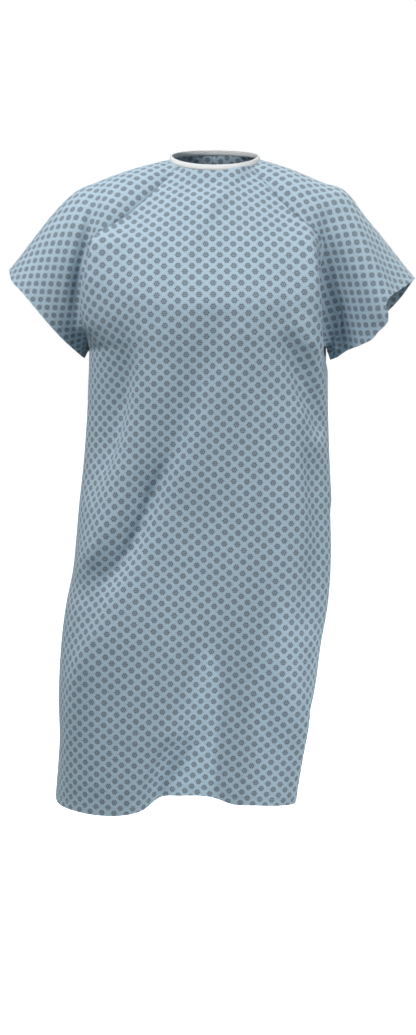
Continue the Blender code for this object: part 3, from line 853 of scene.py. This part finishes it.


# Where the skirt's front is painted lighter, as painted light for the light that comes through it:
# between the legs, from one edge to the other, and at the side. Each edge is a line by height with
# a width over which it eases.
LIT_LEFT = [(-0.86, -0.010), (-0.924, -0.034), (-0.97, -0.055), (-1.04, -0.088), (-1.09, -0.116),
            (-1.16, -0.132)]
LIT_RIGHT = [(-0.86, -0.006), (-0.96, 0.010), (-1.03, 0.003), (-1.16, 0.0)]
LIT_SIDE = [(-0.70, 0.150), (-0.85, 0.090), (-1.16, 0.065)]
LIT_LEFT_EDGE, LIT_RIGHT_EDGE, LIT_SIDE_EDGE = 0.060, 0.016, 0.05
LIT_FROM, LIT_SIDE_FROM, LIT_SIDE_SHARE = (-0.84, -0.89), (-0.70, -0.85), 0.60


def mark_net(net):
    """Marks for the material: metres above a hem, along it and from a seam, and painted light."""
    hem = np.flatnonzero(net.rim & (net.points[:, 2] <= NECK_RIM_Z))
    net.hem_up, nearest = net.distances(net.points[hem])
    near = {}
    for a, b in net.edges:
        if net.rim[a] and net.rim[b]:
            near.setdefault(a, []).append(b)
            near.setdefault(b, []).append(a)
    along = np.zeros(len(net.points))
    seen = set()
    for start in hem:
        here, total = start, 0.0
        while here not in seen:
            seen.add(here)
            along[here] = total
            onward = [v for v in near.get(here, []) if v not in seen]
            if onward:
                total += np.linalg.norm(net.points[onward[0]] - net.points[here])
                here = onward[0]
    net.hem_along = along[hem][nearest]
    net.seam_off, _ = net.distances(net.points[net.seam_points()])
    x, z = as_seen(net.points)
    between = (crossed(x - down(LIT_LEFT, z), LIT_LEFT_EDGE) * ramp(z, *LIT_FROM)
               * crossed(down(LIT_RIGHT, z) - x, LIT_RIGHT_EDGE))
    beside = crossed(x - down(LIT_SIDE, z), LIT_SIDE_EDGE) * ramp(z, *LIT_SIDE_FROM)
    net.lit = (between + LIT_SIDE_SHARE * beside) * (net.points[:, 1] < 0)


MARKS = ("hem_up", "hem_along", "seam_off", "lit")


def make_piece(net, tag, name):
    """The faces of one tag as a mesh object."""
    chosen = net.tags == tag
    mesh, used = mesh_of(net, chosen, name)
    mesh.shade_smooth()
    faces_at = Counter(key for polygon in mesh.polygons for key in polygon.edge_keys)
    sharp = mesh.attributes.new("sharp_edge", "BOOLEAN", "EDGE")
    sharp.data.foreach_set("value", [faces_at[edge.key] < 2 for edge in mesh.edges])
    set_marks(mesh, **{label: getattr(net, label)[used] for label in MARKS})
    set_grain(mesh, np.concatenate([
        net.grain[face, :polygon.loop_total]
        for face, polygon in zip(np.flatnonzero(chosen), mesh.polygons)]))
    return add_object(name, mesh)


# Tape: the binding, the ties and their bows, and the patches that the waist ties are sewn to

TAPE_WIDTH, TAPE_THICKNESS, TAPE_LIFT, TAPE_EDGE_ANGLE = 0.010, 0.0012, 0.0010, 50
TIE_HALF_GAP, TIE_STEPS = 0.001, 24     # the gap is at the back's middle
PROBE_STEP = 0.005                      # the back is felt this far to each side of a place
BINDING_LOW, BINDING_HIGH, BINDING_THICKNESS = -0.0012, 0.0084, 0.0026
BINDING_LEAN, BINDING_OPENING, BINDING_STEPS = 0.22, 0.15, 240
CORNER_STEPS, CORNER_SHARE = 4, 0.48    # the tape's corners are round, by a share of its depth
PATCH_SIZE, PATCH_X, PATCH_STEPS = 0.030, 0.026, 20
PATCH_LIFT, PATCH_THICKNESS = 0.0016, 0.0016 * 0.8
NECK_BOW_DROP, NECK_TIE_REACH = 0.014, 0.030
BOW_LOOP, BOW_TAIL, BOW_STEPS = 0.037, 0.054, 28
LOOP_ANGLES, LOOP_DROOP = (-14.0, 194.0), 5.0
TAIL_ANGLES, TAIL_BENDS = (-68.0, -114.0), (14.0, -10.0)
# A bow's heights above what it lies on, and how narrow its tape is where the knot pinches it
LOOP_HEIGHT, LOOP_RISE, LOOP_FLAT, LOOP_PINCH = 0.0042, 0.0036, 0.45, 0.0055
TAIL_HEIGHT, TAIL_RISE, TAIL_WAVE = 0.0008, 0.0035, 0.0012
TAIL_PINCH, TAIL_PINCH_END = 0.0060, 0.3
KNOT_HEIGHT, KNOT_DEEP, KNOT_WIDE, KNOT_TAPE = 0.0046, 0.0040, 0.0042, 0.0085


def section(width, thickness):
    """A rounded rectangle of (across, out) places."""
    radius = CORNER_SHARE * thickness
    places = []
    for quarter in range(4):
        for share in np.linspace(0, 1, CORNER_STEPS):
            a = math.pi / 2 * (quarter + share)
            middle_x = (width / 2 - radius) * (1 if quarter in (0, 3) else -1)
            middle_y = (thickness / 2 - radius) * (1 if quarter < 2 else -1)
            places.append((middle_x + radius * math.cos(a), middle_y + radius * math.sin(a)))
    return np.array(places)


class Strips:
    """Lengths of tape in one mesh, with metres along and across each as its grain."""

    def __init__(self):
        self.points, self.faces, self.grain = [], [], []

    def sweep(self, path, across, width, thickness):
        """Adds a tape along path. Its width lies across, and may change from point to point."""
        path = np.array(path)
        way = np.gradient(path, axis=0)
        way /= np.linalg.norm(way, axis=1, keepdims=True)
        across = np.broadcast_to(np.array(across, float), path.shape)
        across = across - way * np.sum(across * way, axis=1, keepdims=True)
        across = across / np.linalg.norm(across, axis=1, keepdims=True)
        out = np.cross(way, across)
        along = np.append(0, np.cumsum(np.linalg.norm(np.diff(path, axis=0), axis=1)))
        widths = np.broadcast_to(width, len(path))
        base, size = len(self.points), 4 * CORNER_STEPS
        for k in range(len(path)):
            for a, o in section(widths[k], thickness):
                self.points.append(path[k] + across[k] * a + out[k] * o)
                self.grain.append((along[k], a))
        for k in range(len(path) - 1):
            for j in range(size):
                n = (j + 1) % size
                row = base + k * size
                self.faces.append((row + j, row + n, row + size + n, row + size + j))
        last = base + (len(path) - 1) * size
        self.faces.append(tuple(range(base, base + size)))
        self.faces.append(tuple(range(last, last + size)))

    def make(self, name, material):
        mesh = bpy.data.meshes.new(name)
        mesh.from_pydata([tuple(point) for point in self.points], [], self.faces)
        work = bmesh.new()
        work.from_mesh(mesh)
        bmesh.ops.recalc_face_normals(work, faces=work.faces)
        work.to_mesh(mesh)
        work.free()
        set_grain(mesh, np.array(self.grain)[loop_points(mesh)])
        mesh.shade_smooth()
        mesh.set_sharp_from_angle(angle=math.radians(TAPE_EDGE_ANGLE))
        mesh.materials.append(material)
        return add_object(name, mesh)


class Back:
    """The gown's back, for laying things on."""

    def __init__(self, net):
        faces = [tuple(dict.fromkeys(face)) for face in net.faces.tolist()]
        self.tree = BVHTree.FromPolygons(net.points.tolist(), faces)

    def at(self, x, z, lift=0.0):
        """The place lift above the back at (x, z), and the way out of the cloth there."""
        spots, ways = [], []
        for shift in (-PROBE_STEP, 0.0, PROBE_STEP):
            spot, way, _, _ = self.tree.ray_cast(Vector((x + shift, 1, z)), Vector((0, -1, 0)))
            if spot is not None and spot.y > 0:
                spots.append(spot.y)
                ways.append(np.array(way if way.y > 0 else -way))
        way = sum(ways) / np.linalg.norm(sum(ways))
        return np.array((x, max(spots), z)) + way * lift, way


def make_binding(material):
    strips = Strips()
    path, across = [], []
    for angle in np.linspace(BINDING_OPENING - 180, 180 - BINDING_OPENING, BINDING_STEPS):
        a = math.radians(angle)
        up = np.array((-math.sin(a) * BINDING_LEAN, math.cos(a) * BINDING_LEAN, 1.0))
        up /= np.linalg.norm(up)
        path.append(neck_point(angle) + up * (BINDING_LOW + BINDING_HIGH) / 2)
        across.append(up)
    strips.sweep(path, across, BINDING_HIGH - BINDING_LOW, BINDING_THICKNESS)
    return strips.make("neck_binding_tape", material)


def make_tie(name, back, start, end, lift, material):
    """A tape laid on the back from x = start to end, both with their z."""
    places = [back.at(*mix(start, end, s), lift + TAPE_THICKNESS / 2)
              for s in np.linspace(0, 1, TIE_STEPS)]
    path = np.array([place for place, _ in places])
    out = np.array([way for _, way in places])
    strips = Strips()
    strips.sweep(path, np.cross(out, np.gradient(path, axis=0)), TAPE_WIDTH, TAPE_THICKNESS)
    return strips.make(name, material)


def make_bow(name, back, middle, lift, material):
    """A knot with two loops and two tails, on the back at (x, z)."""
    strips = Strips()
    centre, out = back.at(*middle)
    right = np.array((1.0, 0.0, 0.0))
    up = np.cross(right, out)

    def place(reach, angle, height, droop=0.0):
        a = math.radians(angle)
        x = middle[0] + reach * math.cos(a)
        z = middle[1] + reach * math.sin(a) - droop
        return back.at(x, z, height)[0]

    s = np.linspace(0, 1, BOW_STEPS)
    swell = np.sin(math.pi * s)
    for angle in LOOP_ANGLES:
        height = lift + LOOP_HEIGHT - (
            LOOP_RISE * np.cos(math.pi * s) * (LOOP_FLAT + (1 - LOOP_FLAT) * swell))
        path = [place(r, angle, h, LOOP_DROOP * r * r) for r, h in zip(BOW_LOOP * swell, height)]
        a = math.radians(angle)
        strips.sweep(path, up * math.cos(a) - right * math.sin(a),
                     mix(LOOP_PINCH, TAPE_WIDTH, swell), TAPE_THICKNESS)
    for angle, bend in zip(TAIL_ANGLES, TAIL_BENDS):
        height = lift + TAIL_HEIGHT + TAIL_RISE * (1 - s) ** 2 + TAIL_WAVE * swell**2
        path = [place(BOW_TAIL * t, angle + bend * (t - 0.5), h) for t, h in zip(s, height)]
        a = math.radians(angle)
        strips.sweep(path, right * math.sin(a) - up * math.cos(a),
                     mix(TAIL_PINCH, TAPE_WIDTH, ramp(s, 0, TAIL_PINCH_END)), TAPE_THICKNESS)
    ring = [centre + out * (lift + KNOT_HEIGHT + KNOT_DEEP * math.sin(t))
            + right * KNOT_WIDE * math.cos(t) for t in np.linspace(0, math.tau, BOW_STEPS)]
    strips.sweep(ring, up, KNOT_TAPE, TAPE_THICKNESS)
    return strips.make(name, material)


def make_patch(name, back, middle, material):
    """A square of cloth, stitched round its edge, for a waist tie."""
    steps = np.linspace(-0.5, 0.5, PATCH_STEPS + 1) * PATCH_SIZE
    points = [back.at(middle[0] + dx, middle[1] + dz, PATCH_LIFT)[0]
              for dz in steps for dx in steps]
    row = PATCH_STEPS + 1
    faces = [(i * row + j, (i + 1) * row + j, (i + 1) * row + j + 1, i * row + j + 1)
             for i in range(PATCH_STEPS) for j in range(PATCH_STEPS)]
    mesh = bpy.data.meshes.new(name)
    mesh.from_pydata([tuple(point) for point in points], [], faces)
    mesh.shade_smooth()
    places = np.array([(dx, dz) for dz in steps for dx in steps])
    inward = PATCH_SIZE / 2 - np.abs(places).max(axis=1)
    along = np.where(np.abs(places[:, 0]) > np.abs(places[:, 1]), places[:, 1], places[:, 0])
    none = np.zeros(len(points))
    set_marks(mesh, hem_up=HEM_WIDTH - inward, hem_along=along + 1, seam_off=none + 1, lit=none)
    set_grain(mesh, places[loop_points(mesh)])
    mesh.materials.append(material)
    obj = add_object(name, mesh)
    obj.modifiers.new("thickness", "SOLIDIFY").thickness = PATCH_THICKNESS
    return obj


# Materials

GROUND = (0.396, 0.518, 0.612)
SLATE = (0.142, 0.172, 0.214)
THREAD = (0.52, 0.62, 0.69)
TAPE = (0.88, 0.885, 0.89)
PERIOD_X, PERIOD_Y = 0.0224, 0.0195     # the print's repeat, with a second dot at its centre
DOT_RADIUS, PETALS, PETAL_SWELL = 0.0046, 6.0, 0.09
EYE_RADIUS, CLEFT, EDGE = 0.0017, 0.00034, 0.0005
PETAL_INK = 0.60                        # the rest of the ink is in the gaps too
TRELLIS, TRELLIS_LINE = 0.15, (0.0014, 0.0004)
LIT = 0.34                              # how much lighter the cloth's colour is painted where light comes through
YARN_WIDE, YARN_LONG = 0.0009, 0.012
WARP_TONE, WEFT_TONE, BLOTCH_TONE = 0.16, 0.14, 0.10
SEAM_WIDE, SEAM_TONE, FOLD_WIDE, FOLD_TONE = 0.0014, -0.22, 0.0011, -0.12
BLOTCH_SIZE, CRUMPLE_SIZE, GRIME_SIZE = (0.035, 0.05), (0.022, 0.030), (0.03, 0.03)
THREAD_PITCH, STITCH_PITCH, STITCH_IN = 0.0007, 0.0034, 0.002
# From outside in: a stitch line's edge and core, and where along the line a stitch starts
CLOTH_LINE, CLOTH_DASH = (0.00045, 0.0002), (0.0002, 0.0005)
BINDING_LINE, BINDING_DASH, BINDING_LINE_UP = (0.0007, 0.0002), (0.0002, 0.0006), 0.0016
WEAVE_RELIEF, CRUMPLE_RELIEF, STITCH_RELIEF = 0.00006, 0.0016, 0.0003
TAPE_YARN_WIDE, TWILL_PITCH, TAPE_RELIEF = 0.0008, 0.0009, 0.00008


def dot_mask(shade, u, v):
    """1 on the petals of the print's rosettes."""
    spots = []
    for shift in (0.0, 0.5):
        x, y = ((shade.calc("FRACT", way / period + shift) - 0.5) * period
                for way, period in ((u, PERIOD_X), (v, PERIOD_Y)))
        spots.append((x, y, x * x + y * y))
    one, two = spots
    pick = shade.calc("LESS_THAN", one[2], two[2])
    x, y = ((one[k] - two[k]) * pick + two[k] for k in (0, 1))
    radius = shade.calc("SQRT", shade.calc("MINIMUM", one[2], two[2]))
    angle = shade.calc("ARCTAN2", y, x)
    rim = shade.calc("COSINE", angle * PETALS) * (PETAL_SWELL * DOT_RADIUS) + DOT_RADIUS
    inside = shade.step(rim - radius, -EDGE, EDGE)
    turn = abs(shade.calc("COSINE", angle * (PETALS / 2)))
    cleft = shade.step(turn * (radius / (PETALS / 2)), CLEFT / 2, 1.6 * CLEFT)
    eye = shade.step(radius, EYE_RADIUS, 0.8 * EYE_RADIUS)
    ring = shade.step(abs(radius - EYE_RADIUS), CLEFT, 2.2 * CLEFT)
    petals = shade.calc("MAXIMUM", cleft, eye) * ring
    return inside * (petals * PETAL_INK + (1 - PETAL_INK))


def trellis_mask(shade, u, v):
    """1 on the faint lines that run between the dots."""
    spacing = 1 / math.hypot(1 / PERIOD_X, 1 / PERIOD_Y)
    x, y = u / PERIOD_X, v / PERIOD_Y
    return shade.calc("MAXIMUM", *(
        shade.step(abs(shade.calc("FRACT", way) - 0.5) * spacing, *TRELLIS_LINE)
        for way in (x + y, x - y)))


def dashes(shade, along, dash):
    """1 on each stitch of a line and 0 between them."""
    return shade.step(shade.calc("PINGPONG", along, STITCH_PITCH / 2), *dash)


def make_cloth():
    shade = new_shade("printed_cotton")
    u, v = shade.grain()
    warp = shade.noise(u, v, YARN_WIDE, YARN_LONG)
    weft = shade.noise(v, u, YARN_WIDE, YARN_LONG)
    blotch = shade.noise(u, v, *BLOTCH_SIZE, detail=3.0)
    crumple = shade.noise(u, v, *CRUMPLE_SIZE, detail=3.0)
    up = shade.reads("hem_up")
    seam = shade.step(shade.reads("seam_off"), SEAM_WIDE, 0.0)
    fold = shade.step(abs(up - HEM_WIDTH), FOLD_WIDE, 0.0)
    line = shade.step(abs(up - (HEM_WIDTH - STITCH_IN)), *CLOTH_LINE)
    stitch = line * dashes(shade, shade.reads("hem_along"), CLOTH_DASH)

    tone = trellis_mask(shade, u, v) * TRELLIS + 1.0
    tone = tone + warp * WARP_TONE + weft * WEFT_TONE + blotch * BLOTCH_TONE
    tone = tone * (seam * SEAM_TONE + 1.0) * (fold * FOLD_TONE + 1.0)
    # painted light: the skirt's colour is lighter where light comes through it
    tone = tone * (shade.reads("lit") * LIT + 1.0)
    color = shade.scale(shade.blend(dot_mask(shade, u, v), GROUND, SLATE), tone)

    over, under = (shade.calc("SINE", way * (math.tau / THREAD_PITCH)) for way in (u, v))
    normal = shade.relief(over * under + (warp + weft) * 3.0, WEAVE_RELIEF)
    normal = shade.relief(crumple, CRUMPLE_RELIEF, Normal=normal)
    normal = shade.relief(stitch - seam * 2.0, STITCH_RELIEF, Normal=normal)
    return shade.finish("Principled BSDF", {
        "Base Color": shade.blend(stitch * 0.8, color, THREAD), "Roughness": warp * 0.2 + 0.86,
        "Specular IOR Level": 0.25, "Sheen Weight": 0.12, "Sheen Roughness": 0.5,
        "Normal": normal})


def make_tape(name, stitched):
    """White cotton tape. The binding has a line of stitches above its lower edge."""
    shade = new_shade(name)
    u, v = shade.grain()
    yarn = (shade.noise(u, v, YARN_LONG, TAPE_YARN_WIDE)
            + shade.noise(u, v, TAPE_YARN_WIDE, YARN_LONG))
    twill = shade.calc("SINE", (u + v) * (math.tau / TWILL_PITCH))
    tone = shade.noise(u, v, *GRIME_SIZE) * 0.04 + 1.0
    tone = tone + twill * 0.015 + yarn * 0.06
    normal = shade.relief(yarn * 2.0 + twill, TAPE_RELIEF)
    if stitched:
        line = (BINDING_LOW - BINDING_HIGH) / 2 + BINDING_LINE_UP
        groove = shade.step(abs(v - line), *BINDING_LINE)
        stitch = groove * dashes(shade, u, BINDING_DASH)
        # painted shade: the stitch line's groove is darker; its stitches are a little lighter
        tone = tone + groove * -0.16 + stitch * 0.10
        normal = shade.relief(groove * -2.0 + stitch, STITCH_RELIEF, Normal=normal)
    return shade.finish("Principled BSDF", {
        "Base Color": shade.scale(TAPE, tone), "Roughness": 0.82, "Specular IOR Level": 0.3,
        "Sheen Weight": 0.1, "Normal": normal})


def main():
    make_stage()
    net = build_net()
    lay_grain(net)
    mark_net(net)
    cloth = make_cloth()
    pieces = {}
    for tag in [part + hem for part in GRAIN for hem in ("", "_hem")]:
        node = f"{tag}_panel" if tag.endswith(("front", "back")) else tag
        obj = make_piece(net, tag, f"cloth_{node}")
        obj.data.materials.append(cloth)
        thick = obj.modifiers.new("thickness", "SOLIDIFY")
        thick.thickness = HEM_THICKNESS if tag.endswith("_hem") else CLOTH_THICKNESS
        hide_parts(node)
        pieces[node] = obj
    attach(pieces["front_panel"], "gown_body")
    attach(pieces["front_hem"], "gown_body")
    for side in ("left", "right"):
        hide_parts(f"{side}_back_flap")
        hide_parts(f"{side}_sleeve_yoke")
        flap = f"{side}_flap_body"
        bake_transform(pieces[f"{side}_back_panel"])
        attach(pieces[f"{side}_back_hem"], flap)
        for node in (f"{side}_sleeve", f"{side}_sleeve_hem"):
            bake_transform(pieces[node])

    binding_tape, tie_tape = make_tape("binding_tape", True), make_tape("tie_tape", False)
    made = {"neck_binding": make_binding(binding_tape)}
    back = Back(net)
    waist_x = float(side_point("left", WAIST_Z)[0] + side_point("right", WAIST_Z)[0]) / 2
    neck_z = float(neck_point(180)[2]) - NECK_BOW_DROP
    for side in ("left", "right"):
        s = sign(side)
        middle = waist_x + s * (PATCH_X + PATCH_SIZE / 2)
        made[f"{side}_tie_patch"] = make_patch(f"{side}_patch", back, (middle, WAIST_Z), cloth)
        made[f"{side}_waist_tie"] = make_tie(
            f"{side}_waist_tape", back, (waist_x + s * TIE_HALF_GAP, WAIST_Z), (middle, WAIST_Z),
            PATCH_LIFT + TAPE_LIFT, tie_tape)
        made[f"{side}_neck_tie"] = make_tie(
            f"{side}_neck_tape", back, (s * TIE_HALF_GAP, neck_z), (s * NECK_TIE_REACH, neck_z),
            TAPE_LIFT, tie_tape)
    made["waist_bow"] = make_bow("waist_bow_tape", back, (waist_x, WAIST_Z),
                                 PATCH_LIFT + 2 * TAPE_THICKNESS, tie_tape)
    made["neck_bow"] = make_bow("neck_bow_tape", back, (0.0, neck_z), 2 * TAPE_THICKNESS, tie_tape)
    for node, obj in made.items():
        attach(obj, "gown_body")
        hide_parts(node)
    declare_sheets({**pieces, **made})


def declare_sheets(pieces):
    """Lists which pieces are sheets and what they rest on; its cut does nothing with them."""
    def cut(tag, node, rests_on, others):
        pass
    yokes = [pieces["left_sleeve"], pieces["right_sleeve"]]
    cut("front", "front_panel", ["neck_binding_tape", *yokes], ["front_hem"])
    for side in ("left", "right"):
        cut(f"{side}_sleeve", f"{side}_sleeve", ["neck_binding_tape"], [f"{side}_sleeve_hem"])
        cut(f"{side}_back", f"{side}_back_panel", ["neck_binding_tape", pieces[f"{side}_sleeve"]],
            [f"{side}_back_hem"])


main()
